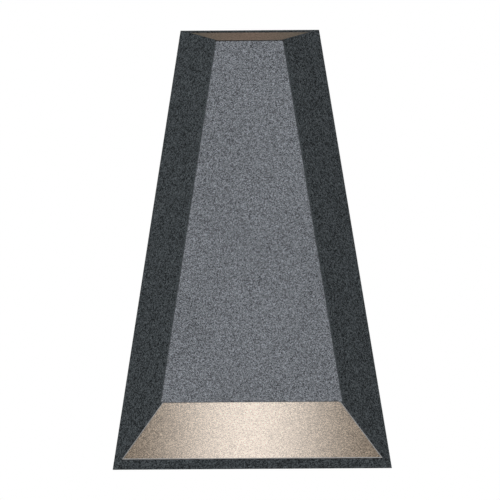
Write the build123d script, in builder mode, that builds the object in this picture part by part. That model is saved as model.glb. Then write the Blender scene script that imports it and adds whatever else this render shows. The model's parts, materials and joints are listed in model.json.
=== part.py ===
"""Outdoor wall light: a truncated pyramid on the wall that lights it upwards and downwards.

The wall is the plane y = 0, the front faces -Y and +Z is up. Depths are measured from the wall.
"""

import os
from math import atan2, cos, degrees, hypot, sin

from build123d import *

os.makedirs("parts", exist_ok=True)

# Outline on the wall and the front face, which lies inside it by the same inset on all four sides
HEIGHT = 260.0
BASE_WIDTH = 160.0
TOP_WIDTH = 81.0
DEPTH = 70.0
INSET = 25.2

# Housing shell
SKIN = 3.0
SEAL_LEDGE = 4.0
BACK_GAP = 0.8
FRONT_WALL = 2.5
BAND_DEPTH = 10.8
FACE_THICK = 3.0
FACE_ROUND = 0.5
RIB_THICK = 2.0
RIB_HEIGHT = 4.0
SIDE_RIBS = 3
SIDE_RIB_PITCH = 45.0

# Diffuser seats, measured square to each sloped light end
DIFFUSER_THICK = 2.2
DIFFUSER_RECESS = 0.5
DIFFUSER_GAP = 0.1
GASKET_THICK = 0.6
GASKET_EDGE = 0.9
FENCE = 0.9
LIP = 0.4
WINDOW_SEAT = 5.0
WINDOW_MARGIN = 8.5

# Wall plate
FLOOR = 2.5
RIM_HEIGHT = 6.0
RIM_THICK = 2.2
FIT_GAP = 0.5
RIM_SEAL = 1.5
WALL_HOLE_RADIUS = 2.6
WALL_HOLE_SPACING_Z = 190.0
BOSS_RADIUS = 6.0
BOSS_HEIGHT = 2.0
BOSS_CLEAR = 1.0
WALL_GASKET_THICK = 1.2
WALL_GASKET_WIDTH = 6.0
WALL_GASKET_EDGE = 2.5

# Cable entry, below the terminal block
CABLE_DROP = 28.0
CABLE_RADIUS = 4.5
GROMMET_NECK = 7.5
GROMMET_FLANGE = 10.5
GROMMET_FLANGE_THICK = 1.1
GROMMET_SPOUT = 9.0
GROMMET_WALL = 1.6
GROMMET_POCKET = 1.2
RUBBER_GAP = 0.1

# Set screws through the sides of the housing
SET_SCREW_RADIUS = 1.5
SET_SCREW_LENGTH = 7.0
SET_SCREW_SINK = 1.2
SET_SCREW_DEPTH = 4.4
SET_SCREW_Z = 0.0
SET_SCREW_SOCKET = 0.85
SET_SCREW_SOCKET_DEPTH = 2.3
THREAD_GAP = 0.05
NOTCH_GAP = 0.25

# Terminal block
TERMINAL_PITCH = 11.0
TERMINAL_POLES = 3
TERMINAL_DEPTH = 18.0
TERMINAL_RISE = 17.0
TERMINAL_STEP = 7.0
TERMINAL_CROWN = 10.0
WIRE_HOLE_RADIUS = 1.8
WIRE_HOLE_DEPTH = 4.0
WIRE_HOLE_RISE = 4.0
CLAMP_SCREW_RADIUS = 1.5
CLAMP_WELL_GAP = 0.2
CLAMP_SCREW_LENGTH = 3.0
CLAMP_SCREW_SINK = 1.5
CLAMP_SCREW_OFFSET = 2.6
CLAMP_SLOT_WIDTH = 0.5
CLAMP_SLOT_DEPTH = 0.8
FIXING_SCREW_RADIUS = 1.2
FIXING_HEAD_RADIUS = 2.2
FIXING_HEAD = 1.8
FIXING_SINK = 4.0
TERMINAL_ROUND = 0.5

# Driver, hung below the upper light unit, with the terminal block a lead's run below it
DRIVER_CLEAR = 4.0
DRIVER_LENGTH = 100.0
DRIVER_WIDTH = 40.0
DRIVER_RISE = 20.0
DRIVER_ROUND = 3.0
DRIVER_LID = 2.0
DRIVER_LID_SET = 1.0
DRIVER_LID_CHAMFER = 0.6
LEAD_RUN = 17.0
LEAD_STRAIGHT = 4.2
EAR_WIDTH = 9.0
EAR_LENGTH = 14.0
EAR_THICK = 3.0
EAR_OFFSET = 34.0
DRIVER_SCREW_RADIUS = 1.5
DRIVER_SCREW_HEAD = 2.8
DRIVER_SCREW_HEAD_THICK = 2.2
SCREW_BITE = 2.0
SCREW_GAP = 0.1

# Plug-in outlet between the driver and the light unit
SOCKET_WIDTH = 15.0
SOCKET_HEIGHT = 12.0
SOCKET_RISE = 8.0
PLUG_WIDTH = 12.0
PLUG_HEIGHT = 9.0
PLUG_FOOT = 2.0
PLUG_FOOT_EDGE = 2.5
PLUG_GAP = 0.6
PLUG_ROUND = 0.8
PIN_RADIUS = 0.8
PIN_GAP = 0.3
PIN_LENGTH = 6.0
PIN_SPACING = 5.2
PIN_HOLE_DEPTH = 7.0

# Wiring
MAINS_RADIUS = 1.1
MAINS_BEND = 5.0
LED_WIRE_RADIUS = 0.8
LED_WIRE_BEND = 5.0
LED_WIRE_CLEAR = 0.3
LED_WIRE_LOOP = 9.0
LED_WIRE_HOLE = 1.5

# Earth point
EARTH_X = 36.0
LUG_RADIUS = 4.4
LUG_THICK = 0.8
LUG_BARREL_RADIUS = 2.0
LUG_BARREL_LENGTH = 6.0
LUG_BARREL_START = 4.6
LUG_BARREL_END = 1.0
EARTH_BOSS = 1.0
EARTH_SCREW_RADIUS = 2.0
EARTH_HEAD_RADIUS = 3.6
EARTH_HEAD = 2.6

# Light unit
CARRIER_THICK = 2.0
CARRIER_BEND = 1.5
CARRIER_MARGIN = 6.0
CARRIER_REACH = 48.0
MIXING_DEPTH = 25.2
BOARD_THICK = 1.6
PAD_THICK = 0.5
BOARD_BORDER = 4.0
BOARD_BACK = 27.0
LED_SIZE = 3.0
LED_THICK = 0.7
LED_PITCH = 6.5
LED_ROW_PITCH = 9.0
LED_ROWS = 2
LOWER_LED_COLUMNS = 6
UPPER_LED_COLUMNS = 1
BOARD_SCREW_RADIUS = 1.4
BOARD_SCREW_HEAD = 2.4
BOARD_SCREW_HEAD_THICK = 1.8
REFLECTOR_WALL = 1.2
REFLECTOR_LAP = 1.0
REFLECTOR_FIELD = 3.5

# Studs of the front plate, which also clamp the light unit
STUD_RADIUS = 2.0
STUD_GAP = 0.25
STUD_TIP = 1.0
NUT_FLATS = 7.0
NUT_THICK = 3.2
UPPER_STUD_RISE = 12.0
UPPER_STUD_SPACING = 24.0
LOWER_STUD_RISE = 21.5
LOWER_STUD_SPACING = 48.0

# Cross recess in the heads of the small screws
CROSS_SPAN = 2.6
CROSS_WIDTH = 0.7
CROSS_DEPTH = 1.0

# Worked out from the sizes above
LEAN = (BASE_WIDTH - TOP_WIDTH) / 2 / HEIGHT
STRETCH = hypot(1, LEAN)
SLOPE = atan2(INSET, DEPTH)
REBATE = DIFFUSER_RECESS + DIFFUSER_THICK + GASKET_THICK
END_WALL = SKIN + SEAL_LEDGE
LEDGE_INSIDE = END_WALL * cos(SLOPE)
FACE_BACK = DEPTH - FACE_THICK
CAVITY_FRONT = FACE_BACK - FRONT_WALL
LEDGE_DEPTH = RIM_HEIGHT + RIM_SEAL
LEDGE_END = LEDGE_DEPTH + SEAL_LEDGE * DEPTH / INSET
WEB_BACK = CAVITY_FRONT - CARRIER_THICK
BOARD_TOP = MIXING_DEPTH + BOARD_THICK
PAD_TOP = BOARD_TOP + PAD_THICK
FLANGE_TOP = PAD_TOP + CARRIER_THICK
WALL_HOLE_SPACING_X = DRIVER_WIDTH + 2 * (BOSS_RADIUS + BOSS_CLEAR)
DRIVER_FRONT = FLOOR + DRIVER_RISE + DRIVER_LID
FLANGE_END = HEIGHT / 2 - FLANGE_TOP / cos(SLOPE)
FLANGE_ROOT = FLANGE_END - INSET * WEB_BACK / DEPTH
DRIVER_TOP = FLANGE_END - INSET * DRIVER_FRONT / DEPTH - DRIVER_CLEAR
DRIVER_BOTTOM = DRIVER_TOP - DRIVER_LENGTH
DRIVER_Z = (DRIVER_TOP + DRIVER_BOTTOM) / 2
TERMINAL_TOP = DRIVER_BOTTOM - LEAD_RUN
TERMINAL_Z = TERMINAL_TOP - TERMINAL_DEPTH / 2
CABLE_Z = TERMINAL_Z - CABLE_DROP
UPPER_STUD_Z = DRIVER_Z + UPPER_STUD_RISE
LOWER_STUD_Z = LOWER_STUD_RISE - FLANGE_ROOT
SOCKET_FRONT = DRIVER_FRONT + SOCKET_RISE
PLUG_TIP = SOCKET_FRONT + PLUG_GAP
WIRE_DEPTH = FLOOR + WIRE_HOLE_RISE
DRIVER_WIRE_DEPTH = FLOOR + DRIVER_RISE / 2
ENDS = {"lower": -1, "upper": 1}
LED_COLUMNS = {"lower": LOWER_LED_COLUMNS, "upper": UPPER_LED_COLUMNS}


def half_width(z, depth, inset=0.0):
    """Half the width of the outline at a height and depth, less an inset square to its sides."""
    return BASE_WIDTH / 2 - LEAN * (z + HEIGHT / 2) - (INSET * depth / DEPTH + inset) * STRETCH


def outline(depth, side_inset=0.0, end_inset=0.0):
    """Face across the pyramid at a depth, inset at its sides and at its two light ends."""
    end = HEIGHT / 2 - INSET * depth / DEPTH - end_inset
    low = half_width(-end, depth, side_inset)
    high = half_width(end, depth, side_inset)
    with BuildSketch(Plane.XZ.offset(depth)) as section:
        Polygon((-low, -end), (low, -end), (high, end), (-high, end))
    return section.sketch


def frustum(near, far, side_inset=0.0, end_inset=0.0):
    """Slice of the pyramid between two depths, inset all the way."""
    with BuildPart() as piece:
        extrude(outline(near, side_inset, end_inset), amount=far - near)
        sides = piece.faces().filter_by(Axis.Y, reverse=True)
        draft(sides, Plane.XZ.offset(near), degrees(SLOPE))
    return piece.part


def light_end(end, depth_inside=0.0):
    """Plane of a sloped light end, with local +Y towards the front edge and +Z outwards."""
    surface = Plane(
        origin=(0, -DEPTH, end * (HEIGHT / 2 - INSET)),
        x_dir=(-end, 0, 0),
        z_dir=(0, -sin(SLOPE), end * cos(SLOPE)),
    )
    return surface.offset(-depth_inside)


def along(depth, depth_inside=0.0):
    """Local Y on a light end, at a level inside it, where the distance from the wall is as given."""
    return (depth - DEPTH + depth_inside * sin(SLOPE)) / cos(SLOPE)


def widening(end):
    """How fast the half width of a light end grows along its local Y."""
    return sin(SLOPE) * (end * LEAN - STRETCH)


def pane(end, front, rear, margin, level=0.0):
    """Face on a light end from a front to a rear local Y, its sides a margin inside the corner edges."""
    corners = []
    for y in (front, rear):
        z = end * (HEIGHT / 2 - INSET - y * sin(SLOPE))
        corners.append((half_width(z, DEPTH + y * cos(SLOPE)) - margin, y))
    (front_x, front_y), (rear_x, rear_y) = corners
    with BuildSketch(light_end(end, level)) as section:
        Polygon((-rear_x, rear_y), (rear_x, rear_y), (front_x, front_y), (-front_x, front_y))
    return section.sketch


def seat(end, level, shrink=0.0):
    """Face of a diffuser seat on a light end, shrunk all round."""
    return pane(end, -LIP - shrink, along(BAND_DEPTH) + shrink, FENCE + shrink, level)


def window(end, level, grow=0.0):
    """Face of the light opening inside a diffuser seat, grown all round."""
    front = along(CAVITY_FRONT - REFLECTOR_LAP, LEDGE_INSIDE) + grow - REFLECTOR_LAP
    rear = along(BAND_DEPTH + WINDOW_SEAT) - grow
    return pane(end, front, rear, WINDOW_MARGIN - grow, level)


def field_half_width(end_name):
    """Half the width of the lit field of an LED board."""
    return (LED_COLUMNS[end_name] - 1) / 2 * LED_PITCH + LED_PITCH + REFLECTOR_FIELD


def field_half_length():
    """Half the length of the lit field of an LED board, towards the wall."""
    return (LED_ROWS - 1) / 2 * LED_ROW_PITCH + LED_SIZE / 2 + REFLECTOR_FIELD


def board_plane(end, level):
    """Plane at the middle of an LED board, at a level inside its light end."""
    return light_end(end, level).shift_origin(light_end(end, level).from_local_coords((0, -BOARD_BACK)))


def crosses(head_top, places):
    """Face of the cross recesses in screw heads at the given places."""
    with BuildSketch(head_top) as recesses:
        with Locations(*places):
            Rectangle(CROSS_SPAN, CROSS_WIDTH)
            Rectangle(CROSS_WIDTH, CROSS_SPAN)
    return recesses.sketch


def wire(path_points, bend, radius):
    """Round lead along straight runs joined by arcs."""
    with BuildPart() as lead:
        with BuildLine() as path:
            FilletPolyline(*path_points, radius=bend)
        with BuildSketch(Plane(origin=path.line @ 0, z_dir=path.line % 0)):
            Circle(radius)
        sweep()
    return lead.part


def save(piece, name):
    """Label a finished piece and write it."""
    piece.part.label = name
    export_step(piece.part, f"parts/{name}.step")


# Places shared by several pieces
board_screw_places = {name: field_half_width(name) - REFLECTOR_FIELD for name in ENDS}
pole_places = [
    (number - (TERMINAL_POLES - 1) / 2) * TERMINAL_PITCH for number in range(TERMINAL_POLES)
]
ear_places = [
    (DRIVER_WIDTH / 2 + EAR_WIDTH / 2, DRIVER_Z - EAR_OFFSET),
    (-DRIVER_WIDTH / 2 - EAR_WIDTH / 2, DRIVER_Z + EAR_OFFSET),
]
stud_places = [
    (sign * spacing / 2, z)
    for spacing, z in ((UPPER_STUD_SPACING, UPPER_STUD_Z), (LOWER_STUD_SPACING, LOWER_STUD_Z))
    for sign in (-1, 1)
]
fixing_places = [(x + TERMINAL_PITCH / 2, TERMINAL_Z) for x in pole_places[:-1]]
set_screw_end = half_width(SET_SCREW_Z, SET_SCREW_DEPTH) - SET_SCREW_SINK

# Housing: hollow ribbed pyramid, open to the wall, with a stepped window in each light end
with BuildPart() as side_ribs:
    add(frustum(LEDGE_END, CAVITY_FRONT, SKIN, END_WALL))
    add(frustum(LEDGE_END, CAVITY_FRONT, SKIN + RIB_HEIGHT, END_WALL), mode=Mode.SUBTRACT)
    with BuildSketch(Plane.XZ.offset(CAVITY_FRONT)):
        with GridLocations(BASE_WIDTH, SIDE_RIB_PITCH, 1, SIDE_RIBS):
            Rectangle(BASE_WIDTH, RIB_THICK)
    extrude(amount=LEDGE_END - CAVITY_FRONT, mode=Mode.INTERSECT)

with BuildPart() as ledge_opening:
    extrude(outline(LEDGE_DEPTH, END_WALL, END_WALL), amount=LEDGE_END - LEDGE_DEPTH)
    walls = ledge_opening.faces().filter_by(Axis.Y, reverse=True).sort_by(Axis.Z)
    draft([walls[0], walls[-1]], Plane.XZ.offset(LEDGE_DEPTH), degrees(SLOPE))

with BuildPart() as housing:
    add(frustum(BACK_GAP, FACE_BACK))
    add(frustum(BACK_GAP, LEDGE_DEPTH, SKIN, SKIN), mode=Mode.SUBTRACT)
    add(ledge_opening.part, mode=Mode.SUBTRACT)
    add(frustum(LEDGE_END, CAVITY_FRONT, SKIN, END_WALL), mode=Mode.SUBTRACT)
    add(side_ribs.part)
    for end in ENDS.values():
        extrude(seat(end, 0), amount=-REBATE, mode=Mode.SUBTRACT)
        extrude(window(end, 0), amount=-LEDGE_INSIDE - SEAL_LEDGE, mode=Mode.SUBTRACT)
    with BuildSketch(Plane.XZ.offset(FACE_BACK)):
        with Locations(*stud_places):
            Circle(STUD_RADIUS + STUD_GAP)
    extrude(amount=-FRONT_WALL, mode=Mode.SUBTRACT)
    with BuildSketch(Plane.YZ):
        with Locations((-SET_SCREW_DEPTH, SET_SCREW_Z)):
            Circle(SET_SCREW_RADIUS + THREAD_GAP)
    extrude(amount=BASE_WIDTH / 2, both=True, mode=Mode.SUBTRACT)
save(housing, "housing")

# Front plate: rebated over the diffusers, with welded studs
with BuildPart() as front_plate:
    add(frustum(FACE_BACK, DEPTH))
    front_edges = front_plate.faces().sort_by(Axis.Y)[0].edges()
    fillet(front_edges.filter_by(Axis.X, reverse=True), FACE_ROUND)
    for end in ENDS.values():
        extrude(seat(end, 0), amount=-REBATE, mode=Mode.SUBTRACT)
    with BuildSketch(Plane.XZ.offset(FACE_BACK)):
        with Locations(*stud_places):
            Circle(STUD_RADIUS)
    extrude(amount=-FRONT_WALL - CARRIER_THICK - NUT_THICK - STUD_TIP)
save(front_plate, "front_plate")

with BuildPart() as front_plate_nuts:
    with BuildSketch(Plane.XZ.offset(WEB_BACK)):
        with Locations(*stud_places):
            RegularPolygon(NUT_FLATS / 2, 6, major_radius=False)
            Circle(STUD_RADIUS + THREAD_GAP, mode=Mode.SUBTRACT)
    extrude(amount=-NUT_THICK)
save(front_plate_nuts, "front_plate_nuts")

# Diffusers and the gaskets that hold them in their seats
for name, end in ENDS.items():
    with BuildPart() as diffuser_gasket:
        extrude(seat(end, REBATE), amount=REBATE - DIFFUSER_RECESS)
        extrude(seat(end, REBATE - GASKET_THICK, GASKET_EDGE), amount=REBATE, mode=Mode.SUBTRACT)
        extrude(window(end, REBATE), amount=REBATE, mode=Mode.SUBTRACT)
    save(diffuser_gasket, f"{name}_diffuser_gasket")

    with BuildPart() as diffuser:
        extrude(seat(end, REBATE - GASKET_THICK, GASKET_EDGE + DIFFUSER_GAP), amount=DIFFUSER_THICK)
    save(diffuser, f"{name}_diffuser")

# Light unit: a sheet bent along both light ends, clamped to the front wall
outer_root = HEIGHT / 2 - PAD_TOP / cos(SLOPE) - INSET * CAVITY_FRONT / DEPTH
tip = light_end(1, PAD_TOP).from_local_coords((0, along(WEB_BACK, PAD_TOP) - CARRIER_REACH))
with BuildPart() as led_carrier:
    with BuildSketch(Plane.YZ):
        with BuildLine():
            FilletPolyline(
                (tip.Y, -tip.Z),
                (-CAVITY_FRONT, -outer_root),
                (-CAVITY_FRONT, outer_root),
                (tip.Y, tip.Z),
                radius=CARRIER_BEND + CARRIER_THICK,
            )
            offset(amount=CARRIER_THICK, side=Side.RIGHT)
        make_face()
    extrude(amount=BASE_WIDTH / 2, both=True)
    extrude(outline(CAVITY_FRONT, SKIN + CARRIER_MARGIN), amount=-DEPTH, mode=Mode.INTERSECT)
    with BuildSketch(Plane.XZ.offset(CAVITY_FRONT)):
        with Locations(*stud_places):
            Circle(STUD_RADIUS + STUD_GAP)
    extrude(amount=-CARRIER_THICK, mode=Mode.SUBTRACT)
    for name, end in ENDS.items():
        with BuildSketch(board_plane(end, PAD_TOP)):
            with Locations((-board_screw_places[name], 0), (board_screw_places[name], 0)):
                Circle(BOARD_SCREW_RADIUS + THREAD_GAP)
            with Locations((-PIN_SPACING / 2, 0), (PIN_SPACING / 2, 0)):
                Circle(LED_WIRE_HOLE)
        extrude(amount=-CARRIER_THICK, mode=Mode.SUBTRACT)
save(led_carrier, "led_carrier")

for name, end in ENDS.items():
    field_x = field_half_width(name)
    field_y = field_half_length()
    screw_x = board_screw_places[name]
    board_x = field_x + BOARD_BORDER
    board_y = field_y + BOARD_BORDER

    with BuildPart() as thermal_pad:
        with BuildSketch(board_plane(end, BOARD_TOP)):
            Rectangle(2 * board_x, 2 * board_y)
            with Locations((-screw_x, 0), (screw_x, 0)):
                Circle(BOARD_SCREW_RADIUS + STUD_GAP, mode=Mode.SUBTRACT)
            with Locations((-PIN_SPACING / 2, 0), (PIN_SPACING / 2, 0)):
                Circle(LED_WIRE_HOLE, mode=Mode.SUBTRACT)
        extrude(amount=-PAD_THICK)
    save(thermal_pad, f"{name}_thermal_pad")

    with BuildPart() as led_board:
        with BuildSketch(board_plane(end, MIXING_DEPTH)):
            Rectangle(2 * board_x, 2 * board_y)
            with Locations((-screw_x, 0), (screw_x, 0)):
                Circle(BOARD_SCREW_RADIUS + STUD_GAP, mode=Mode.SUBTRACT)
        extrude(amount=-BOARD_THICK)
    save(led_board, f"{name}_led_board")

    with BuildPart() as leds:
        with BuildSketch(board_plane(end, MIXING_DEPTH)):
            with GridLocations(LED_PITCH, LED_ROW_PITCH, LED_COLUMNS[name], LED_ROWS):
                Rectangle(LED_SIZE, LED_SIZE)
        extrude(amount=LED_THICK)
    save(leds, f"{name}_leds")

    # Funnel between the board and the inside of the window
    with BuildPart() as reflector:
        for grow, mode in ((REFLECTOR_WALL, Mode.ADD), (0, Mode.SUBTRACT)):
            throat_y = field_y + grow
            front_x = field_x + grow + throat_y * widening(end)
            rear_x = field_x + grow - throat_y * widening(end)
            with BuildSketch(board_plane(end, MIXING_DEPTH)) as throat:
                Polygon((-rear_x, -throat_y), (rear_x, -throat_y), (front_x, throat_y), (-front_x, throat_y))
            mouth = window(end, LEDGE_INSIDE, REFLECTOR_LAP + grow - REFLECTOR_WALL)
            loft([throat.sketch, mouth], True, mode=mode)
    save(reflector, f"{name}_reflector")

with BuildPart() as board_screws:
    for name, end in ENDS.items():
        places = [(-board_screw_places[name], 0), (board_screw_places[name], 0)]
        with BuildSketch(board_plane(end, MIXING_DEPTH)):
            with Locations(*places):
                Circle(BOARD_SCREW_HEAD)
        extrude(amount=BOARD_SCREW_HEAD_THICK)
        with BuildSketch(board_plane(end, MIXING_DEPTH)):
            with Locations(*places):
                Circle(BOARD_SCREW_RADIUS)
        extrude(amount=MIXING_DEPTH - FLANGE_TOP)
        head_top = board_plane(end, MIXING_DEPTH - BOARD_SCREW_HEAD_THICK)
        extrude(crosses(head_top, places), amount=-CROSS_DEPTH, mode=Mode.SUBTRACT)
save(board_screws, "board_screws")

# Plug under the light unit, with two pins that enter the socket on the driver
with BuildPart() as led_plug:
    with BuildSketch(Plane.XZ.offset(WEB_BACK)):
        with Locations((0, DRIVER_Z)):
            RectangleRounded(PLUG_WIDTH + 2 * PLUG_FOOT_EDGE, PLUG_HEIGHT, PLUG_ROUND)
    extrude(amount=-PLUG_FOOT)
    with BuildSketch(Plane.XZ.offset(WEB_BACK)):
        with Locations((0, DRIVER_Z)):
            RectangleRounded(PLUG_WIDTH, PLUG_HEIGHT, PLUG_ROUND)
    extrude(amount=PLUG_TIP - WEB_BACK)
save(led_plug, "led_plug")

pin_places = [(-PIN_SPACING / 2, DRIVER_Z), (PIN_SPACING / 2, DRIVER_Z)]
with BuildPart() as led_plug_pins:
    with BuildSketch(Plane.XZ.offset(PLUG_TIP)):
        with Locations(*pin_places):
            Circle(PIN_RADIUS)
    extrude(amount=-PIN_LENGTH)
save(led_plug_pins, "led_plug_pins")

# Leads from the plug along the sheet to the back of both LED boards
wire_depth = WEB_BACK - LED_WIRE_RADIUS - LED_WIRE_CLEAR
for colour, side in (("red", 1), ("black", -1)):
    with BuildPart() as led_leads:
        for end in ENDS.values():
            x = side * PIN_SPACING / 2
            loop_level = FLANGE_TOP + LED_WIRE_LOOP
            bend_at = light_end(end, loop_level).from_local_coords((-end * x, along(wire_depth, loop_level)))
            over_hole = light_end(end, loop_level).from_local_coords((-end * x, -BOARD_BACK))
            at_board = light_end(end, BOARD_TOP).from_local_coords((-end * x, -BOARD_BACK))
            plug_side = (x, -wire_depth, DRIVER_Z + end * PLUG_HEIGHT / 2)
            add(wire([plug_side, bend_at, over_hole, at_board], LED_WIRE_BEND, LED_WIRE_RADIUS))
    save(led_leads, f"{colour}_leads")

# Set screws, threaded through the sides of the housing into notches of the wall plate's rim
with BuildPart() as housing_screws:
    with BuildSketch(Plane.YZ.offset(set_screw_end)):
        with Locations((-SET_SCREW_DEPTH, SET_SCREW_Z)):
            Circle(SET_SCREW_RADIUS)
    extrude(amount=-SET_SCREW_LENGTH)
    with BuildSketch(Plane.YZ.offset(set_screw_end)):
        with Locations((-SET_SCREW_DEPTH, SET_SCREW_Z)):
            RegularPolygon(SET_SCREW_SOCKET, 6)
    extrude(amount=-SET_SCREW_SOCKET_DEPTH, mode=Mode.SUBTRACT)
    mirror(about=Plane.YZ)
save(housing_screws, "housing_screws")

# Wall plate: shallow pan whose rim follows the inside of the housing, ribbed across its wall holes
rim_inset = SKIN + FIT_GAP
with BuildPart() as plate_ribs:
    add(frustum(FLOOR, FLOOR + BOSS_HEIGHT, rim_inset, rim_inset))
    with BuildSketch(Plane.XZ):
        with GridLocations(BASE_WIDTH, WALL_HOLE_SPACING_Z, 1, 2):
            Rectangle(BASE_WIDTH, RIB_THICK)
    extrude(amount=FLOOR + BOSS_HEIGHT, mode=Mode.INTERSECT)

with BuildPart() as wall_plate:
    add(frustum(0, RIM_HEIGHT, rim_inset, rim_inset))
    add(frustum(FLOOR, RIM_HEIGHT, rim_inset + RIM_THICK, rim_inset + RIM_THICK), mode=Mode.SUBTRACT)
    add(plate_ribs.part)
    with BuildSketch(Plane.XZ.offset(FLOOR)):
        with GridLocations(WALL_HOLE_SPACING_X, WALL_HOLE_SPACING_Z, 2, 2):
            Circle(BOSS_RADIUS)
    extrude(amount=BOSS_HEIGHT)
    with BuildSketch(Plane.XZ.offset(FLOOR)):
        with Locations((EARTH_X, TERMINAL_Z)):
            Circle(LUG_RADIUS)
    extrude(amount=EARTH_BOSS)
    with BuildSketch(Plane.XZ):
        with GridLocations(WALL_HOLE_SPACING_X, WALL_HOLE_SPACING_Z, 2, 2):
            Circle(WALL_HOLE_RADIUS)
        with Locations((0, CABLE_Z)):
            Circle(GROMMET_NECK + RUBBER_GAP)
    extrude(amount=FLOOR + BOSS_HEIGHT, mode=Mode.SUBTRACT)
    with BuildSketch(Plane.XZ):
        with Locations((0, CABLE_Z)):
            Circle(GROMMET_FLANGE + RUBBER_GAP)
    extrude(amount=GROMMET_POCKET, mode=Mode.SUBTRACT)
    groove_inset = rim_inset + WALL_GASKET_EDGE
    add(frustum(0, WALL_GASKET_THICK, groove_inset, groove_inset), mode=Mode.SUBTRACT)
    pad_inset = groove_inset + WALL_GASKET_WIDTH
    with BuildSketch(Plane.XZ):
        add(outline(0, pad_inset, pad_inset))
        with GridLocations(WALL_HOLE_SPACING_X, WALL_HOLE_SPACING_Z, 2, 2):
            Circle(WALL_HOLE_RADIUS, mode=Mode.SUBTRACT)
        with Locations((0, CABLE_Z)):
            Circle(GROMMET_FLANGE + RUBBER_GAP, mode=Mode.SUBTRACT)
    extrude(amount=WALL_GASKET_THICK)
    with BuildSketch(Plane.XZ.offset(FLOOR)):
        with Locations(*ear_places):
            Circle(DRIVER_SCREW_RADIUS + THREAD_GAP)
        with Locations(*fixing_places):
            Circle(FIXING_SCREW_RADIUS + THREAD_GAP)
    extrude(amount=-SCREW_BITE, mode=Mode.SUBTRACT)
    with BuildSketch(Plane.XZ.offset(FLOOR + EARTH_BOSS)):
        with Locations((EARTH_X, TERMINAL_Z)):
            Circle(EARTH_SCREW_RADIUS + THREAD_GAP)
    extrude(amount=-SCREW_BITE, mode=Mode.SUBTRACT)
    notch = SET_SCREW_RADIUS + NOTCH_GAP
    with BuildSketch(Plane.YZ):
        with Locations((-SET_SCREW_DEPTH, SET_SCREW_Z)):
            Circle(notch)
        with Locations((-(SET_SCREW_DEPTH + RIM_HEIGHT) / 2, SET_SCREW_Z)):
            Rectangle(RIM_HEIGHT - SET_SCREW_DEPTH, 2 * notch)
    extrude(amount=BASE_WIDTH / 2, both=True, mode=Mode.SUBTRACT)
save(wall_plate, "wall_plate")

with BuildPart() as wall_gasket:
    add(frustum(0, WALL_GASKET_THICK, groove_inset, groove_inset))
    extrude(outline(0, pad_inset, pad_inset), amount=WALL_GASKET_THICK, mode=Mode.SUBTRACT)
save(wall_gasket, "wall_gasket")

with BuildPart() as rim_seal:
    add(frustum(RIM_HEIGHT, LEDGE_DEPTH, rim_inset, rim_inset))
    add(frustum(RIM_HEIGHT, LEDGE_DEPTH, rim_inset + RIM_THICK, rim_inset + RIM_THICK), mode=Mode.SUBTRACT)
save(rim_seal, "rim_seal")

# Grommet: flanged ring gripping the floor round the cable hole, with a tapered spout
cable_axis = Axis((0, 0, CABLE_Z), (0, 1, 0))
with BuildPart() as cable_grommet:
    with BuildSketch(Plane.XY.offset(CABLE_Z)):
        Polygon(
            (CABLE_RADIUS, -GROMMET_POCKET + GROMMET_FLANGE_THICK),
            (GROMMET_FLANGE, -GROMMET_POCKET + GROMMET_FLANGE_THICK),
            (GROMMET_FLANGE, -GROMMET_POCKET),
            (GROMMET_NECK, -GROMMET_POCKET),
            (GROMMET_NECK, -FLOOR),
            (GROMMET_FLANGE, -FLOOR),
            (GROMMET_FLANGE, -FLOOR - GROMMET_FLANGE_THICK),
            (GROMMET_NECK, -FLOOR - GROMMET_FLANGE_THICK),
            (CABLE_RADIUS + GROMMET_WALL, -FLOOR - GROMMET_FLANGE_THICK - GROMMET_SPOUT),
            (CABLE_RADIUS, -FLOOR - GROMMET_FLANGE_THICK - GROMMET_SPOUT),
        )
    revolve(axis=cable_axis)
save(cable_grommet, "cable_grommet")

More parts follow.
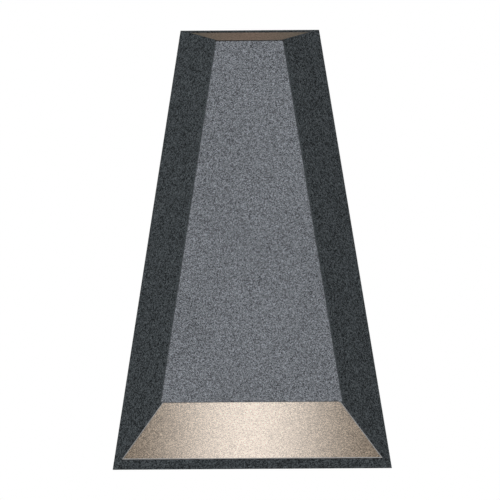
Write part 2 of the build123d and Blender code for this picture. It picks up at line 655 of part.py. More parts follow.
# Terminal block: stepped body with a clamp screw on each side of every pole
with BuildPart() as terminal_block:
    terminal_width = TERMINAL_POLES * TERMINAL_PITCH
    with BuildSketch(Plane.YZ):
        Polygon(
            (-FLOOR, TERMINAL_TOP - TERMINAL_DEPTH),
            (-FLOOR, TERMINAL_TOP),
            (-FLOOR - TERMINAL_STEP, TERMINAL_TOP),
            (-FLOOR - TERMINAL_STEP, TERMINAL_Z + TERMINAL_CROWN / 2),
            (-FLOOR - TERMINAL_RISE, TERMINAL_Z + TERMINAL_CROWN / 2),
            (-FLOOR - TERMINAL_RISE, TERMINAL_Z - TERMINAL_CROWN / 2),
            (-FLOOR - TERMINAL_STEP, TERMINAL_Z - TERMINAL_CROWN / 2),
            (-FLOOR - TERMINAL_STEP, TERMINAL_TOP - TERMINAL_DEPTH),
        )
    extrude(amount=terminal_width / 2, both=True)
    crown_edges = terminal_block.edges().filter_by(Axis.X).group_by(Axis.Y)[0]
    fillet(crown_edges, TERMINAL_ROUND)
    for way in (-1, 1):
        with BuildSketch(Plane.XY.offset(TERMINAL_Z + way * TERMINAL_DEPTH / 2)):
            with Locations(*[(x, -WIRE_DEPTH) for x in pole_places]):
                Circle(WIRE_HOLE_RADIUS)
        extrude(amount=-way * WIRE_HOLE_DEPTH, mode=Mode.SUBTRACT)
    clamp_places = [
        (x, TERMINAL_Z + way * CLAMP_SCREW_OFFSET) for x in pole_places for way in (-1, 1)
    ]
    with BuildSketch(Plane.XZ.offset(FLOOR + TERMINAL_RISE)):
        with Locations(*clamp_places):
            Circle(CLAMP_SCREW_RADIUS + CLAMP_WELL_GAP)
    extrude(amount=-CLAMP_SCREW_SINK - CLAMP_SCREW_LENGTH, mode=Mode.SUBTRACT)
    with BuildSketch(Plane.XZ.offset(FLOOR + TERMINAL_RISE)):
        with Locations(*fixing_places):
            Circle(FIXING_HEAD_RADIUS + SCREW_GAP)
    extrude(amount=-FIXING_SINK, mode=Mode.SUBTRACT)
    with BuildSketch(Plane.XZ.offset(FLOOR + TERMINAL_RISE)):
        with Locations(*fixing_places):
            Circle(FIXING_SCREW_RADIUS + SCREW_GAP)
    extrude(amount=-TERMINAL_RISE, mode=Mode.SUBTRACT)
save(terminal_block, "terminal_block")

with BuildPart() as terminal_screws:
    clamp_top = FLOOR + TERMINAL_RISE - CLAMP_SCREW_SINK
    with BuildSketch(Plane.XZ.offset(clamp_top)):
        with Locations(*clamp_places):
            Circle(CLAMP_SCREW_RADIUS)
    extrude(amount=-CLAMP_SCREW_LENGTH)
    with BuildSketch(Plane.XZ.offset(clamp_top)):
        with Locations(*clamp_places):
            Rectangle(2 * CLAMP_SCREW_RADIUS, CLAMP_SLOT_WIDTH)
    extrude(amount=-CLAMP_SLOT_DEPTH, mode=Mode.SUBTRACT)
save(terminal_screws, "terminal_screws")

with BuildPart() as terminal_fixing_screws:
    head_seat = FLOOR + TERMINAL_RISE - FIXING_SINK
    with BuildSketch(Plane.XZ.offset(head_seat)):
        with Locations(*fixing_places):
            Circle(FIXING_HEAD_RADIUS)
    extrude(amount=FIXING_HEAD)
    with BuildSketch(Plane.XZ.offset(head_seat)):
        with Locations(*fixing_places):
            Circle(FIXING_SCREW_RADIUS)
    extrude(amount=FLOOR - SCREW_BITE - head_seat)
    head_top = Plane.XZ.offset(head_seat + FIXING_HEAD)
    extrude(crosses(head_top, fixing_places), amount=-CROSS_DEPTH, mode=Mode.SUBTRACT)
save(terminal_fixing_screws, "terminal_fixing_screws")

# Driver: closed case with two fixing ears, a set-in lid and the plug-in outlet
with BuildPart() as driver_case:
    with BuildSketch(Plane.XZ.offset(FLOOR)):
        with Locations((0, DRIVER_Z)):
            RectangleRounded(DRIVER_WIDTH, DRIVER_LENGTH, DRIVER_ROUND)
    extrude(amount=DRIVER_RISE)
    with BuildSketch(Plane.XZ.offset(FLOOR)):
        with Locations(*ear_places):
            Rectangle(EAR_WIDTH, EAR_LENGTH)
            Circle(DRIVER_SCREW_RADIUS + SCREW_GAP, mode=Mode.SUBTRACT)
    extrude(amount=EAR_THICK)
    with BuildSketch(Plane.XY.offset(DRIVER_BOTTOM)):
        with Locations(*[(x, -DRIVER_WIRE_DEPTH) for x in pole_places[:-1]]):
            Circle(WIRE_HOLE_RADIUS)
    extrude(amount=WIRE_HOLE_DEPTH, mode=Mode.SUBTRACT)
save(driver_case, "driver_case")

with BuildPart() as driver_lid:
    with BuildSketch(Plane.XZ.offset(FLOOR + DRIVER_RISE)):
        with Locations((0, DRIVER_Z)):
            RectangleRounded(
                DRIVER_WIDTH - 2 * DRIVER_LID_SET, DRIVER_LENGTH - 2 * DRIVER_LID_SET, DRIVER_ROUND
            )
    extrude(amount=DRIVER_LID)
    chamfer(driver_lid.faces().sort_by(Axis.Y)[0].edges(), DRIVER_LID_CHAMFER)
save(driver_lid, "driver_lid")

with BuildPart() as driver_screws:
    with BuildSketch(Plane.XZ.offset(FLOOR + EAR_THICK)):
        with Locations(*ear_places):
            Circle(DRIVER_SCREW_HEAD)
    extrude(amount=DRIVER_SCREW_HEAD_THICK)
    with BuildSketch(Plane.XZ.offset(FLOOR + EAR_THICK)):
        with Locations(*ear_places):
            Circle(DRIVER_SCREW_RADIUS)
    extrude(amount=-EAR_THICK - SCREW_BITE)
    head_top = Plane.XZ.offset(FLOOR + EAR_THICK + DRIVER_SCREW_HEAD_THICK)
    extrude(crosses(head_top, ear_places), amount=-CROSS_DEPTH, mode=Mode.SUBTRACT)
save(driver_screws, "driver_screws")

with BuildPart() as driver_socket:
    with BuildSketch(Plane.XZ.offset(DRIVER_FRONT)):
        with Locations((0, DRIVER_Z)):
            RectangleRounded(SOCKET_WIDTH, SOCKET_HEIGHT, PLUG_ROUND)
    extrude(amount=SOCKET_RISE)
    with BuildSketch(Plane.XZ.offset(SOCKET_FRONT)):
        with Locations(*pin_places):
            Circle(PIN_RADIUS + PIN_GAP)
    extrude(amount=-PIN_HOLE_DEPTH, mode=Mode.SUBTRACT)
save(driver_socket, "driver_socket")

# Mains leads between the terminal block and the driver
for lead_name, x in zip(("live_lead", "neutral_lead"), pole_places):
    with BuildPart() as mains_lead:
        route = [
            (x, -WIRE_DEPTH, TERMINAL_TOP - WIRE_HOLE_DEPTH),
            (x, -WIRE_DEPTH, TERMINAL_TOP + LEAD_STRAIGHT),
            (x, -DRIVER_WIRE_DEPTH, DRIVER_BOTTOM - LEAD_STRAIGHT),
            (x, -DRIVER_WIRE_DEPTH, DRIVER_BOTTOM + WIRE_HOLE_DEPTH),
        ]
        add(wire(route, MAINS_BEND, MAINS_RADIUS))
    save(mains_lead, lead_name)

# Earth lead, its ring lug and the earth screw
lug_seat = FLOOR + EARTH_BOSS
barrel_depth = lug_seat + LUG_BARREL_RADIUS
barrel_z = TERMINAL_Z + LUG_BARREL_START
with BuildPart() as earth_lug:
    with BuildSketch(Plane.XZ.offset(lug_seat)):
        with Locations((EARTH_X, TERMINAL_Z)):
            Circle(LUG_RADIUS)
        with Locations((EARTH_X, TERMINAL_Z + LUG_BARREL_START / 2)):
            Rectangle(2 * LUG_BARREL_RADIUS, LUG_BARREL_START)
        with Locations((EARTH_X, TERMINAL_Z)):
            Circle(EARTH_SCREW_RADIUS + SCREW_GAP, mode=Mode.SUBTRACT)
    extrude(amount=LUG_THICK)
    with BuildSketch(Plane.XY.offset(barrel_z)):
        with Locations((EARTH_X, -barrel_depth)):
            Circle(LUG_BARREL_RADIUS)
    extrude(amount=LUG_BARREL_LENGTH)
    with BuildSketch(Plane.XY.offset(barrel_z + LUG_BARREL_LENGTH)):
        with Locations((EARTH_X, -barrel_depth)):
            Circle(MAINS_RADIUS + SCREW_GAP)
    extrude(amount=LUG_BARREL_END - LUG_BARREL_LENGTH, mode=Mode.SUBTRACT)
save(earth_lug, "earth_lug")

with BuildPart() as earth_screw:
    with BuildSketch(Plane.XZ.offset(lug_seat + LUG_THICK)):
        with Locations((EARTH_X, TERMINAL_Z)):
            RegularPolygon(EARTH_HEAD_RADIUS, 6)
    extrude(amount=EARTH_HEAD)
    with BuildSketch(Plane.XZ.offset(lug_seat + LUG_THICK)):
        with Locations((EARTH_X, TERMINAL_Z)):
            Circle(EARTH_SCREW_RADIUS)
    extrude(amount=-LUG_THICK - SCREW_BITE)
save(earth_screw, "earth_screw")

with BuildPart() as earth_lead:
    turn_z = TERMINAL_TOP + LEAD_RUN / 2
    route = [
        (pole_places[-1], -WIRE_DEPTH, TERMINAL_TOP - WIRE_HOLE_DEPTH),
        (pole_places[-1], -WIRE_DEPTH, turn_z),
        (EARTH_X, -barrel_depth, turn_z),
        (EARTH_X, -barrel_depth, barrel_z + LUG_BARREL_END),
    ]
    add(wire(route, MAINS_BEND, MAINS_RADIUS))
save(earth_lead, "earth_lead")
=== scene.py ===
"""Looks of the outdoor wall light: coats, diffusers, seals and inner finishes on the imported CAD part."""

import json
from math import cos, pi, radians, sin

import bpy
from mathutils import Matrix, Vector


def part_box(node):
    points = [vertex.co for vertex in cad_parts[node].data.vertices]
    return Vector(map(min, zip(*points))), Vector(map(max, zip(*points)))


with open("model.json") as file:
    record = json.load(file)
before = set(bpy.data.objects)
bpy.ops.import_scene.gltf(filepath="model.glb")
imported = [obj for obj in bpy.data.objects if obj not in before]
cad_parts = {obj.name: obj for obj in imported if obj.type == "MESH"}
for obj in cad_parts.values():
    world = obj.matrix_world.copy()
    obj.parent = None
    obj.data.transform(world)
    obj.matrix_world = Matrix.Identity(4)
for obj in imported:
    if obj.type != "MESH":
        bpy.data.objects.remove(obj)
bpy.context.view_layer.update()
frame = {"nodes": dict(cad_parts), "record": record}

# Camera of the photograph, worked out from the light's edges in it
CAMERA_DISTANCE = 3.2
CAMERA_BELOW = radians(13.18)
CAMERA_RIGHT = 0.01
CAMERA_LENS = 400.1
CAMERA_ROLL = radians(-0.32)
CAMERA_REACH = 30.0
AIM_RIGHT = -0.0006
AIM_UP = -0.0012

# Studio lamps, surround and floor
KEY_LEVEL = 0.84 * pi
KEY_ABOVE = radians(2.0)
KEY_LEFT = radians(2.0)
BACK_LEVEL = 0.5 * pi
LAMP_SOFTNESS = radians(30.0)
AMBIENT = 0.16
FLOOR_Z = -4.2
FLOOR_HALF = 6.0
FLOOR_GREY = 0.85
FLOOR_ROUGHNESS = 0.9
FLOOR_WHITE = 0.97
SHADOW_REACH = 3.0

# Kinds of socket on the shader groups
COLOUR = "NodeSocketColor"
NUMBER = "NodeSocketFloat"
VECTOR = "NodeSocketVector"
SURFACE_OUTPUTS = [("Colour", COLOUR), ("Roughness", NUMBER), ("Height", NUMBER)]

# Part of the normal along an axis, where a face begins to look that way and where it fully does
FACING_BARELY = 0.6
FACING_FULLY = 0.9


def rgb(red, green, blue):
    """Linear colour with full alpha."""
    return (red, green, blue, 1.0)


def node(tree, kind, inputs=None, **settings):
    """Add a node, set its properties, then set or link its inputs."""
    made = tree.nodes.new(kind)
    for name, value in settings.items():
        setattr(made, name, value)
    for name, value in (inputs or {}).items():
        if isinstance(value, bpy.types.NodeSocket):
            tree.links.new(value, made.inputs[name])
        else:
            made.inputs[name].default_value = value
    return made


def maths(tree, operation, first, second=0.0, third=0.0):
    """Result of one step of arithmetic."""
    return node(tree, "ShaderNodeMath", {0: first, 1: second, 2: third}, operation=operation).outputs[0]


def rescale(tree, value, from_low, from_high, to_low, to_high):
    """Value moved from one range to another, and kept inside it."""
    ranges = {"From Min": from_low, "From Max": from_high, "To Min": to_low, "To Max": to_high}
    return node(tree, "ShaderNodeMapRange", {"Value": value, **ranges}).outputs["Result"]


def coordinates(tree, kind):
    """Places on the object, or the directions that its surface faces."""
    return node(tree, "ShaderNodeTexCoord").outputs[kind]


def along(tree, vector, axis):
    """One axis of a vector."""
    return node(tree, "ShaderNodeSeparateXYZ", {"Vector": vector}).outputs[axis]


def stretched(tree, place, scale):
    """Places scaled axis by axis, for a pattern that is finer one way than another."""
    return node(tree, "ShaderNodeVectorMath", {0: place, 1: scale}, operation="MULTIPLY").outputs[0]


def noise(tree, place, scale, detail=3.0, roughness=0.5):
    """Soft noise over a place."""
    inputs = {"Vector": place, "Scale": scale, "Detail": detail, "Roughness": roughness}
    return node(tree, "ShaderNodeTexNoise", inputs).outputs[0]


def toned(tree, colour, tone):
    """Colour made lighter or darker by a tone that changes over the surface."""
    return node(tree, "ShaderNodeVectorMath", {0: colour, "Scale": tone}, operation="SCALE").outputs[0]


def blended(tree, amount, first, second):
    """Colour between two others."""
    inputs = {"Factor": amount, "A": first, "B": second}
    return node(tree, "ShaderNodeMix", inputs, data_type="RGBA").outputs["Result"]


def facing_front(tree):
    """Mask of the faces that look straight to the front."""
    depth_part = along(tree, coordinates(tree, "Normal"), "Y")
    return rescale(tree, depth_part, -FACING_BARELY, -FACING_FULLY, 0.0, 1.0)


def seen_white(tree):
    """One for the rays that show the white surround: camera, glossy and transmission rays."""
    path = node(tree, "ShaderNodeLightPath").outputs
    shiny = maths(tree, "MAXIMUM", path["Is Glossy Ray"], path["Is Transmission Ray"])
    return maths(tree, "MAXIMUM", path["Is Camera Ray"], shiny)


def shader_group(name, inputs, outputs):
    """Empty node group with named sockets, returned with its inputs and its output node."""
    tree = bpy.data.node_groups.new(name, "ShaderNodeTree")
    for label, kind, value in inputs:
        tree.interface.new_socket(label, in_out="INPUT", socket_type=kind).default_value = value
    for label, kind in outputs:
        tree.interface.new_socket(label, in_out="OUTPUT", socket_type=kind)
    return tree, tree.nodes.new("NodeGroupInput").outputs, tree.nodes.new("NodeGroupOutput")


def give(tree, out, values):
    """Link results to a group's outputs."""
    for name, value in values.items():
        tree.links.new(value, out.inputs[name])


# Values that noise mostly keeps between, and how crisp its fine detail is
NOISE_LOW = 0.3
NOISE_HIGH = 0.7
CRISP = 0.6

# Clouds and flecks of a coat
CLOUD_SCALE = 22.0
CLOUD_SHIFT = 0.04
FLECK_GLOSS = 0.08

# Flecks are spread evenly in displayed shades, and this keeps their mean at the written colour
DISPLAY_GAMMA = 2.2
MEAN_RISE = DISPLAY_GAMMA * (DISPLAY_GAMMA - 1.0) / 24.0

# Slow flow in a moulded skin
FLOW_SCALE = 60.0
FLOW_DETAIL = 2.0
FLOW_GLOSS = 0.06

# Stains on bare metal
STAIN_SCALE = 35.0
STAIN_DARK = 0.93
STAIN_LIGHT = 1.05
STAIN_GLOSS = 0.3


def coat_grain_group():
    """Sand texture of a powder coat: speckled tone, faint clouds and a fine relief."""
    tree, given, out = shader_group(
        "Coat Grain",
        [
            ("Colour", COLOUR, rgb(0.1, 0.1, 0.1)),
            ("Speckle", NUMBER, 1.0),
            ("Grain Scale", VECTOR, (2000.0, 2000.0, 2000.0)),
            ("Roughness", NUMBER, 0.7),
        ],
        SURFACE_OUTPUTS,
    )
    place = coordinates(tree, "Object")
    spread = stretched(tree, place, given["Grain Scale"])
    grains = node(tree, "ShaderNodeTexVoronoi", {"Vector": spread, "Scale": 1.0}).outputs
    chance = node(tree, "ShaderNodeSeparateColor", {"Color": grains["Color"]}).outputs["Red"]
    clouds = noise(tree, place, CLOUD_SCALE)
    cloud_tone = rescale(tree, clouds, NOISE_LOW, NOISE_HIGH, 1.0 - CLOUD_SHIFT, 1.0 + CLOUD_SHIFT)
    shade = maths(tree, "MULTIPLY_ADD", maths(tree, "SUBTRACT", chance, 0.5), given["Speckle"], 1.0)
    mean_tone = maths(tree, "MULTIPLY_ADD", maths(tree, "POWER", given["Speckle"], 2.0), MEAN_RISE, 1.0)
    fleck_tone = maths(tree, "DIVIDE", maths(tree, "POWER", shade, DISPLAY_GAMMA), mean_tone)
    gloss = rescale(tree, chance, 0.0, 1.0, -FLECK_GLOSS, FLECK_GLOSS)
    give(tree, out, {
        "Colour": toned(tree, given["Colour"], maths(tree, "MULTIPLY", cloud_tone, fleck_tone)),
        "Roughness": maths(tree, "ADD", given["Roughness"], gloss),
        "Height": maths(tree, "SUBTRACT", 1.0, grains["Distance"]),
    })
    return tree


def moulded_skin_group():
    """Fine eroded skin of a moulded plastic or rubber piece, with slow changes of tone."""
    tree, given, out = shader_group(
        "Moulded Skin",
        [
            ("Colour", COLOUR, rgb(0.5, 0.5, 0.5)),
            ("Variation", NUMBER, 0.06),
            ("Skin Scale", NUMBER, 1400.0),
            ("Roughness", NUMBER, 0.5),
        ],
        SURFACE_OUTPUTS,
    )
    place = coordinates(tree, "Object")
    skin = noise(tree, place, given["Skin Scale"], roughness=CRISP)
    flow = noise(tree, place, FLOW_SCALE, FLOW_DETAIL)
    uneven = maths(tree, "SUBTRACT", maths(tree, "ADD", skin, flow), 1.0)
    tone = maths(tree, "MULTIPLY_ADD", uneven, given["Variation"], 1.0)
    gloss = rescale(tree, flow, NOISE_LOW, NOISE_HIGH, -FLOW_GLOSS, FLOW_GLOSS)
    give(tree, out, {
        "Colour": toned(tree, given["Colour"], tone),
        "Roughness": maths(tree, "ADD", given["Roughness"], gloss),
        "Height": skin,
    })
    return tree


def drawn_metal_group():
    """Fine lines left on metal by rolling, turning or brushing, with faint stains."""
    tree, given, out = shader_group(
        "Drawn Metal",
        [
            ("Colour", COLOUR, rgb(0.6, 0.6, 0.6)),
            ("Line Scale", VECTOR, (3000.0, 3000.0, 40.0)),
            ("Lines", NUMBER, 0.5),
            ("Roughness", NUMBER, 0.35),
        ],
        SURFACE_OUTPUTS,
    )
    place = coordinates(tree, "Object")
    lines = noise(tree, stretched(tree, place, given["Line Scale"]), 1.0, roughness=CRISP)
    stains = noise(tree, place, STAIN_SCALE)
    line_tone = maths(tree, "MULTIPLY", maths(tree, "SUBTRACT", lines, 0.5), given["Lines"])
    stain_tone = rescale(tree, stains, NOISE_LOW, NOISE_HIGH, STAIN_DARK, STAIN_LIGHT)
    gloss = maths(tree, "MULTIPLY", maths(tree, "SUBTRACT", stains, 0.5), STAIN_GLOSS)
    give(tree, out, {
        "Colour": toned(tree, given["Colour"], maths(tree, "ADD", stain_tone, line_tone)),
        "Roughness": maths(tree, "ADD", given["Roughness"], gloss),
        "Height": lines,
    })
    return tree


coat_grain = coat_grain_group()
moulded_skin = moulded_skin_group()
drawn_metal = drawn_metal_group()


def spaced(values):
    """Values by socket name, with spaces for the underscores of the arguments."""
    return {name.replace("_", " "): value for name, value in values.items()}


def material(slot, **constants):
    """New node material with one Principled shader, its constant sockets set."""
    made = bpy.data.materials.new(slot)
    made.use_nodes = True
    shader = made.node_tree.nodes["Principled BSDF"]
    for name, value in spaced(constants).items():
        shader.inputs[name].default_value = value
    return made, made.node_tree, shader


def placed(tree, group, **values):
    """Outputs of a shader group placed in a material with its own values."""
    return node(tree, "ShaderNodeGroup", spaced(values), node_tree=group).outputs


def surface(tree, shader, group, relief, **values):
    """Put a shader group on a shader, with its own values and its relief in metres."""
    effect = placed(tree, group, **values)
    bump = node(tree, "ShaderNodeBump", {"Distance": relief, "Height": effect["Height"]})
    tree.links.new(effect["Colour"], shader.inputs["Base Color"])
    tree.links.new(effect["Roughness"], shader.inputs["Roughness"])
    tree.links.new(bump.outputs["Normal"], shader.inputs["Normal"])


# Powder coats of the housing and the front plate
ANTHRACITE = rgb(0.092, 0.105, 0.113)
# Painted shade for the walls of the housing's recesses and for the line along the top of the front plate
RECESS_SHADE = rgb(0.036, 0.036, 0.036)
GRAPHITE = rgb(0.153, 0.163, 0.179)
COARSE_GRAIN = (1900.0, 1000.0, 1900.0)
FINE_GRAIN = (3000.0, 3000.0, 3000.0)
SIDE_SPECKLE = 1.15
END_SPECKLE = 1.05
PLATE_SPECKLE = 1.02
HOUSING_RELIEF = 0.00012
PLATE_RELIEF = 0.00004
HOUSING_ROUGHNESS = 0.72
PLATE_ROUGHNESS = 0.7
PLATE_SHINE = 0.01

# Painted shadow line along the top of the front plate's face, and how near its plane a point counts as on
# it
ON_FACE = 0.00001
SHADOW_LINE_HEIGHT = 0.0005
SHADOW_LINE_BLUR = 0.0001


def anthracite_coat():
    """Dark sand-textured coat of the housing: calmer on both ends, with painted shade on the walls of the
    recesses.
    """
    made, tree, shader = material("anthracite_paint", Specular_IOR_Level=0.0)
    upright_part = maths(tree, "ABSOLUTE", along(tree, coordinates(tree, "Normal"), "Z"))
    surface(
        tree, shader, coat_grain, HOUSING_RELIEF,
        # Faces looking to the front are the recess walls, which get painted shade
        Colour=blended(tree, facing_front(tree), ANTHRACITE, RECESS_SHADE),
        Speckle=rescale(tree, upright_part, FACING_BARELY, FACING_FULLY, SIDE_SPECKLE, END_SPECKLE),
        Grain_Scale=COARSE_GRAIN,
        Roughness=HOUSING_ROUGHNESS,
    )
    return made


def face_top():
    """Height of the top edge of the front plate's face."""
    face_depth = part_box("front_plate")[0].y + ON_FACE
    points = [vertex.co for vertex in frame["nodes"]["front_plate"].data.vertices]
    return max(point.z for point in points if point.y < face_depth)


def graphite_coat():
    """Lighter coat on the face of the front plate, whose edges are dark, with a painted shadow line along
    its top.
    """
    made, tree, shader = material("grey_paint", Specular_IOR_Level=PLATE_SHINE)
    height = along(tree, coordinates(tree, "Object"), "Z")
    # Painted shadow line along the top edge of the plate's face; the other edges are dark anthracite
    shadow_line_start = face_top() - SHADOW_LINE_HEIGHT
    below_shadow_line = rescale(tree, height, shadow_line_start - SHADOW_LINE_BLUR, shadow_line_start, 1.0, 0.0)
    face = maths(tree, "MULTIPLY", facing_front(tree), below_shadow_line)
    edges_and_shadow_line = blended(tree, below_shadow_line, RECESS_SHADE, ANTHRACITE)
    surface(
        tree, shader, coat_grain, PLATE_RELIEF,
        Colour=blended(tree, face, edges_and_shadow_line, GRAPHITE),
        Speckle=PLATE_SPECKLE,
        Grain_Scale=FINE_GRAIN,
        Roughness=PLATE_ROUGHNESS,
    )
    return made


# Frosted plastic of the diffusers
LIT_BODY = rgb(0.30, 0.24, 0.18)
GLOW_MIDDLE = rgb(0.70, 0.623, 0.555)
GLOW_EDGE = rgb(0.035, 0.024, 0.015)
# Upper diffuser's colour in front of the LEDs and at its ends: painted light fading to painted shade
PAINTED_LIGHT_MIDDLE = rgb(0.322, 0.242, 0.191)
PAINTED_SHADE_ENDS = rgb(0.148, 0.163, 0.133)
LIT_FROST = 1.3
GLOW_FROST = 0.18
DIM_FROST = 0.38
LIT_GRAIN = (2300.0, 2300.0, 2300.0)
DIM_GRAIN = (1700.0, 900.0, 1700.0)
FROST_RELIEF = 0.00003
FROST_ROUGHNESS = 0.65

# Light across the width of the two diffusers: the glow of the lower one, and light painted into the colour
# of the upper one
LIGHT_CENTRE = -0.0008
GLOW_SPREAD = 0.044
PAINTED_LIGHT_SPREAD = 0.036


def fade_to_sides(tree, spread):
    """One in front of the LEDs, falling softly to zero to the left and right."""
    across = along(tree, coordinates(tree, "Object"), "X")
    share = maths(tree, "DIVIDE", maths(tree, "SUBTRACT", across, LIGHT_CENTRE), spread)
    squared = maths(tree, "MULTIPLY", share, share)
    return maths(tree, "EXPONENT", maths(tree, "MULTIPLY", squared, -1.0))


def lit_diffuser():
    """Lower diffuser: warm frosted plastic that glows most in front of the LEDs and fades to its sides."""
    made, tree, shader = material("lower_diffuser", Specular_IOR_Level=0.0, Emission_Strength=1.0)
    surface(
        tree, shader, coat_grain, FROST_RELIEF,
        Colour=LIT_BODY,
        Speckle=LIT_FROST,
        Grain_Scale=LIT_GRAIN,
        Roughness=FROST_ROUGHNESS,
    )
    glow = placed(
        tree, coat_grain,
        Colour=blended(tree, fade_to_sides(tree, GLOW_SPREAD), GLOW_EDGE, GLOW_MIDDLE),
        Speckle=GLOW_FROST,
        Grain_Scale=LIT_GRAIN,
    )
    tree.links.new(glow["Colour"], shader.inputs["Emission Color"])
    return made


def dim_diffuser():
    """Upper diffuser: the same plastic without the glow, with painted light in the middle that fades to
    painted shade towards its sides.
    """
    made, tree, shader = material("upper_diffuser", Specular_IOR_Level=0.0)
    surface(
        tree, shader, coat_grain, FROST_RELIEF,
        # Painted light in front of the LEDs, fading to painted shade at the ends
        Colour=blended(tree, fade_to_sides(tree, PAINTED_LIGHT_SPREAD), PAINTED_SHADE_ENDS, PAINTED_LIGHT_MIDDLE),
        Speckle=DIM_FROST,
        Grain_Scale=DIM_GRAIN,
        Roughness=FROST_ROUGHNESS,
    )
    return made


# Rubber and foam
RUBBER_SHINE = 0.25
RUBBER_VARIATION = 0.3
RUBBER_SKIN = 900.0
RUBBER_RELIEF = 0.00004
FOAM_SKIN = 1600.0
FOAM_RELIEF = 0.0002


def rubber(slot, colour, roughness, skin_scale=RUBBER_SKIN, relief=RUBBER_RELIEF):
    """Seal, grommet, foam or pad."""
    made, tree, shader = material(slot, Specular_IOR_Level=RUBBER_SHINE)
    surface(
        tree, shader, moulded_skin, relief,
        Colour=colour,
        Variation=RUBBER_VARIATION,
        Skin_Scale=skin_scale,
        Roughness=roughness,
    )
    return made


# Moulded plastic
PLASTIC_SHINE = 0.4
PLASTIC_VARIATION = 0.12
PLASTIC_RELIEF = 0.00002


def plastic(slot, colour, roughness):
    """Moulded plastic piece."""
    made, tree, shader = material(slot, Specular_IOR_Level=PLASTIC_SHINE)
    surface(
        tree, shader, moulded_skin, PLASTIC_RELIEF,
        Colour=colour,
        Variation=PLASTIC_VARIATION,
        Roughness=roughness,
    )
    return made


# Earth lead, whose yellow stripe ends between these two parts of the normal along Y
EARTH_YELLOW = rgb(0.62, 0.52, 0.03)
EARTH_GREEN = rgb(0.03, 0.24, 0.05)
EARTH_ROUGHNESS = 0.4
STRIPE_FULL = -0.25
STRIPE_END = -0.15


def earth_insulation():
    """Green lead with a yellow stripe along it."""
    made, tree, shader = material("earth_insulation", Specular_IOR_Level=PLASTIC_SHINE)
    side = along(tree, coordinates(tree, "Normal"), "Y")
    off_stripe = rescale(tree, side, STRIPE_FULL, STRIPE_END, 0.0, 1.0)
    surface(
        tree, shader, moulded_skin, PLASTIC_RELIEF,
        Colour=blended(tree, off_stripe, EARTH_YELLOW, EARTH_GREEN),
        Variation=PLASTIC_VARIATION,
        Roughness=EARTH_ROUGHNESS,
    )
    return made


# LED boards
BOARD_MASK = rgb(0.80, 0.81, 0.79)
BOARD_TRACK = rgb(0.70, 0.72, 0.70)
BOARD_VARIATION = 0.08
BOARD_RELIEF = 0.00001
BOARD_ROUGHNESS = 0.4
TRACK_SCALE = 90.0
TRACK_WIDTH = 0.03


def led_board():
    """White board with faint tracks under its mask."""
    made, tree, shader = material("board_white", Specular_IOR_Level=PLASTIC_SHINE)
    inputs = {"Vector": coordinates(tree, "Object"), "Scale": TRACK_SCALE, "Mortar Size": TRACK_WIDTH}
    tracks = node(tree, "ShaderNodeTexBrick", inputs).outputs["Fac"]
    surface(
        tree, shader, moulded_skin, BOARD_RELIEF,
        Colour=blended(tree, tracks, BOARD_MASK, BOARD_TRACK),
        Variation=BOARD_VARIATION,
        Roughness=BOARD_ROUGHNESS,
    )
    return made


# Bare metal, with line scales for sheet rolled along X and for pieces turned about Y
METAL_LINES = 0.35
METAL_RELIEF = 0.00001
ROLLED = (60.0, 4000.0, 4000.0)
TURNED = (5000.0, 300.0, 5000.0)


def metal(slot, colour, roughness, line_scale):
    """Bare metal piece."""
    made, tree, shader = material(slot, Metallic=1.0)
    surface(
        tree, shader, drawn_metal, METAL_RELIEF,
        Colour=colour,
        Line_Scale=line_scale,
        Lines=METAL_LINES,
        Roughness=roughness,
    )
    return made


# Cast wall plate
CAST_GREY = rgb(0.40, 0.41, 0.42)
CAST_METALLIC = 0.3
CAST_SHINE = 0.2
CAST_SPECKLE = 0.32
CAST_RELIEF = 0.00006
CAST_ROUGHNESS = 0.6


def cast_metal():
    """As-cast aluminium of the wall plate."""
    made, tree, shader = material("cast_aluminium", Metallic=CAST_METALLIC, Specular_IOR_Level=CAST_SHINE)
    surface(
        tree, shader, coat_grain, CAST_RELIEF,
        Colour=CAST_GREY,
        Speckle=CAST_SPECKLE,
        Grain_Scale=COARSE_GRAIN,
        Roughness=CAST_ROUGHNESS,
    )
    return made


# Colour and roughness of each rubber, and the skin and relief of the foam
RUBBERS = {
    "lower_seal": (rgb(0.70, 0.70, 0.70), 0.6),
    "upper_seal": (rgb(0.10, 0.10, 0.11), 0.6),
    "rim_seal": (rgb(0.07, 0.07, 0.075), 0.6),
    "wall_foam": (rgb(0.035, 0.035, 0.037), 0.85, FOAM_SKIN, FOAM_RELIEF),
    "black_rubber": (rgb(0.025, 0.025, 0.027), 0.55),
    "thermal_pad": (rgb(0.32, 0.36, 0.41), 0.7),
}

# Colour and roughness of each plastic
PLASTICS = {
    "terminal_plastic": (rgb(0.74, 0.74, 0.69), 0.5),
    "driver_plastic": (rgb(0.74, 0.74, 0.73), 0.5),
    "driver_lid": (rgb(0.62, 0.63, 0.64), 0.45),
    "socket_plastic": (rgb(0.66, 0.65, 0.60), 0.45),
    "reflector_white": (rgb(0.85, 0.85, 0.84), 0.35),
    "led_phosphor": (rgb(0.80, 0.56, 0.12), 0.35),
    "brown_insulation": (rgb(0.14, 0.06, 0.025), 0.4),
    "blue_insulation": (rgb(0.02, 0.10, 0.38), 0.4),
    "red_insulation": (rgb(0.45, 0.02, 0.02), 0.4),
    "black_insulation": (rgb(0.02, 0.02, 0.021), 0.4),
}

# Colour, roughness and line scale of each bare metal
METALS = {
    "sheet_aluminium": (rgb(0.72, 0.73, 0.74), 0.35, ROLLED),
    "screw_steel": (rgb(0.60, 0.60, 0.61), 0.3, TURNED),
    "black_steel": (rgb(0.05, 0.052, 0.055), 0.45, TURNED),
    "screw_brass": (rgb(0.70, 0.52, 0.26), 0.3, TURNED),
    "tinned_copper": (rgb(0.68, 0.64, 0.57), 0.35, TURNED),
}

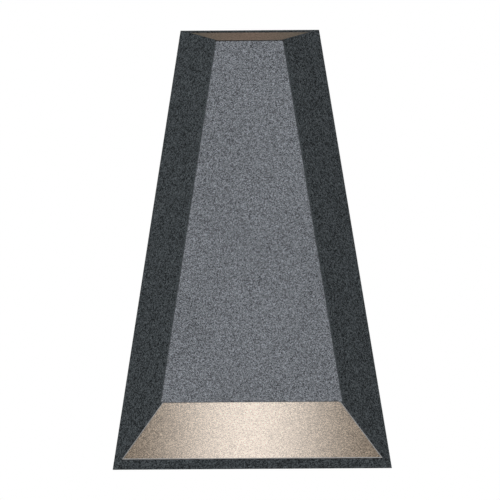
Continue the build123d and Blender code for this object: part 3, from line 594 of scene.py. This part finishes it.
finishes = {
    "anthracite_paint": anthracite_coat(),
    "grey_paint": graphite_coat(),
    "lower_diffuser": lit_diffuser(),
    "upper_diffuser": dim_diffuser(),
    "earth_insulation": earth_insulation(),
    "board_white": led_board(),
    "cast_aluminium": cast_metal(),
}
for make, looks in ((rubber, RUBBERS), (plastic, PLASTICS), (metal, METALS)):
    for slot, look in looks.items():
        finishes[slot] = make(slot, *look)

for subpart in frame["record"]["subparts"]:
    frame["nodes"][subpart["node"]].material_slots[0].material = finishes[subpart["material_slot"]]


def floor():
    """Plain pale floor far below the light, white to the camera, the more so towards its edge."""
    mesh = bpy.data.meshes.new("floor")
    half = FLOOR_HALF
    corners = [(-half, -half), (half, -half), (half, half), (-half, half)]
    mesh.from_pydata([(x, y, FLOOR_Z) for x, y in corners], [], [(0, 1, 2, 3)])
    ground = bpy.data.objects.new("floor", mesh)
    bpy.context.scene.collection.objects.link(ground)
    made, tree, shader = material("floor_paint", Roughness=FLOOR_ROUGHNESS, Specular_IOR_Level=0.0)
    shader.inputs["Base Color"].default_value = rgb(FLOOR_GREY, FLOOR_GREY, FLOOR_GREY)
    white = node(tree, "ShaderNodeEmission", {"Strength": 1.0}).outputs[0]
    ends = {0: coordinates(tree, "Object"), 1: (0.0, 0.0, FLOOR_Z)}
    away = node(tree, "ShaderNodeVectorMath", ends, operation="DISTANCE").outputs["Value"]
    whiteness = rescale(tree, away, SHADOW_REACH, FLOOR_HALF, FLOOR_WHITE, 1.0)
    share = maths(tree, "MULTIPLY", seen_white(tree), whiteness)
    mix = node(tree, "ShaderNodeMixShader", {0: share, 1: shader.outputs[0], 2: white})
    tree.links.new(mix.outputs[0], tree.nodes["Material Output"].inputs["Surface"])
    mesh.materials.append(made)


def sun(name, direction_to_lamp, level):
    """Soft distant lamp."""
    lamp = bpy.data.lights.new(name, "SUN")
    lamp.energy = level
    lamp.angle = LAMP_SOFTNESS
    holder = bpy.data.objects.new(name, lamp)
    holder.rotation_euler = Vector(direction_to_lamp).to_track_quat("Z", "Y").to_euler()
    bpy.context.scene.collection.objects.link(holder)


def studio():
    """Frontal soft key, a back light for the wall side, and a white surround."""
    level_part = cos(KEY_ABOVE)
    to_key = (-sin(KEY_LEFT) * level_part, -cos(KEY_LEFT) * level_part, sin(KEY_ABOVE))
    sun("key_light", to_key, KEY_LEVEL)
    sun("back_light", (0.0, 1.0, 0.0), BACK_LEVEL)
    world = bpy.data.worlds.new("studio")
    world.use_nodes = True
    tree = world.node_tree
    background = tree.nodes["Background"]
    background.inputs["Color"].default_value = rgb(1.0, 1.0, 1.0)
    strength = rescale(tree, seen_white(tree), 0.0, 1.0, AMBIENT, 1.0)
    tree.links.new(strength, background.inputs["Strength"])
    bpy.context.scene.world = world


def camera():
    """Camera below the light, looking up at it as in the photograph."""
    toward = Vector((0.0, cos(CAMERA_BELOW), sin(CAMERA_BELOW)))
    up = Vector((0.0, -sin(CAMERA_BELOW), cos(CAMERA_BELOW)))
    place = Vector((CAMERA_RIGHT, 0.0, 0.0)) - CAMERA_DISTANCE * toward
    aim = Vector((AIM_RIGHT, 0.0, 0.0)) + AIM_UP * up
    turn = (aim - place).to_track_quat("-Z", "Y").to_matrix() @ Matrix.Rotation(CAMERA_ROLL, 3, "Z")
    lens = bpy.data.cameras.new("camera")
    lens.lens = CAMERA_LENS
    lens.clip_end = CAMERA_REACH
    holder = bpy.data.objects.new("camera", lens)
    holder.matrix_world = Matrix.Translation(place) @ turn.to_4x4()
    bpy.context.scene.collection.objects.link(holder)
    bpy.context.scene.camera = holder


floor()
studio()
camera()
bpy.context.scene.view_settings.view_transform = "Standard"
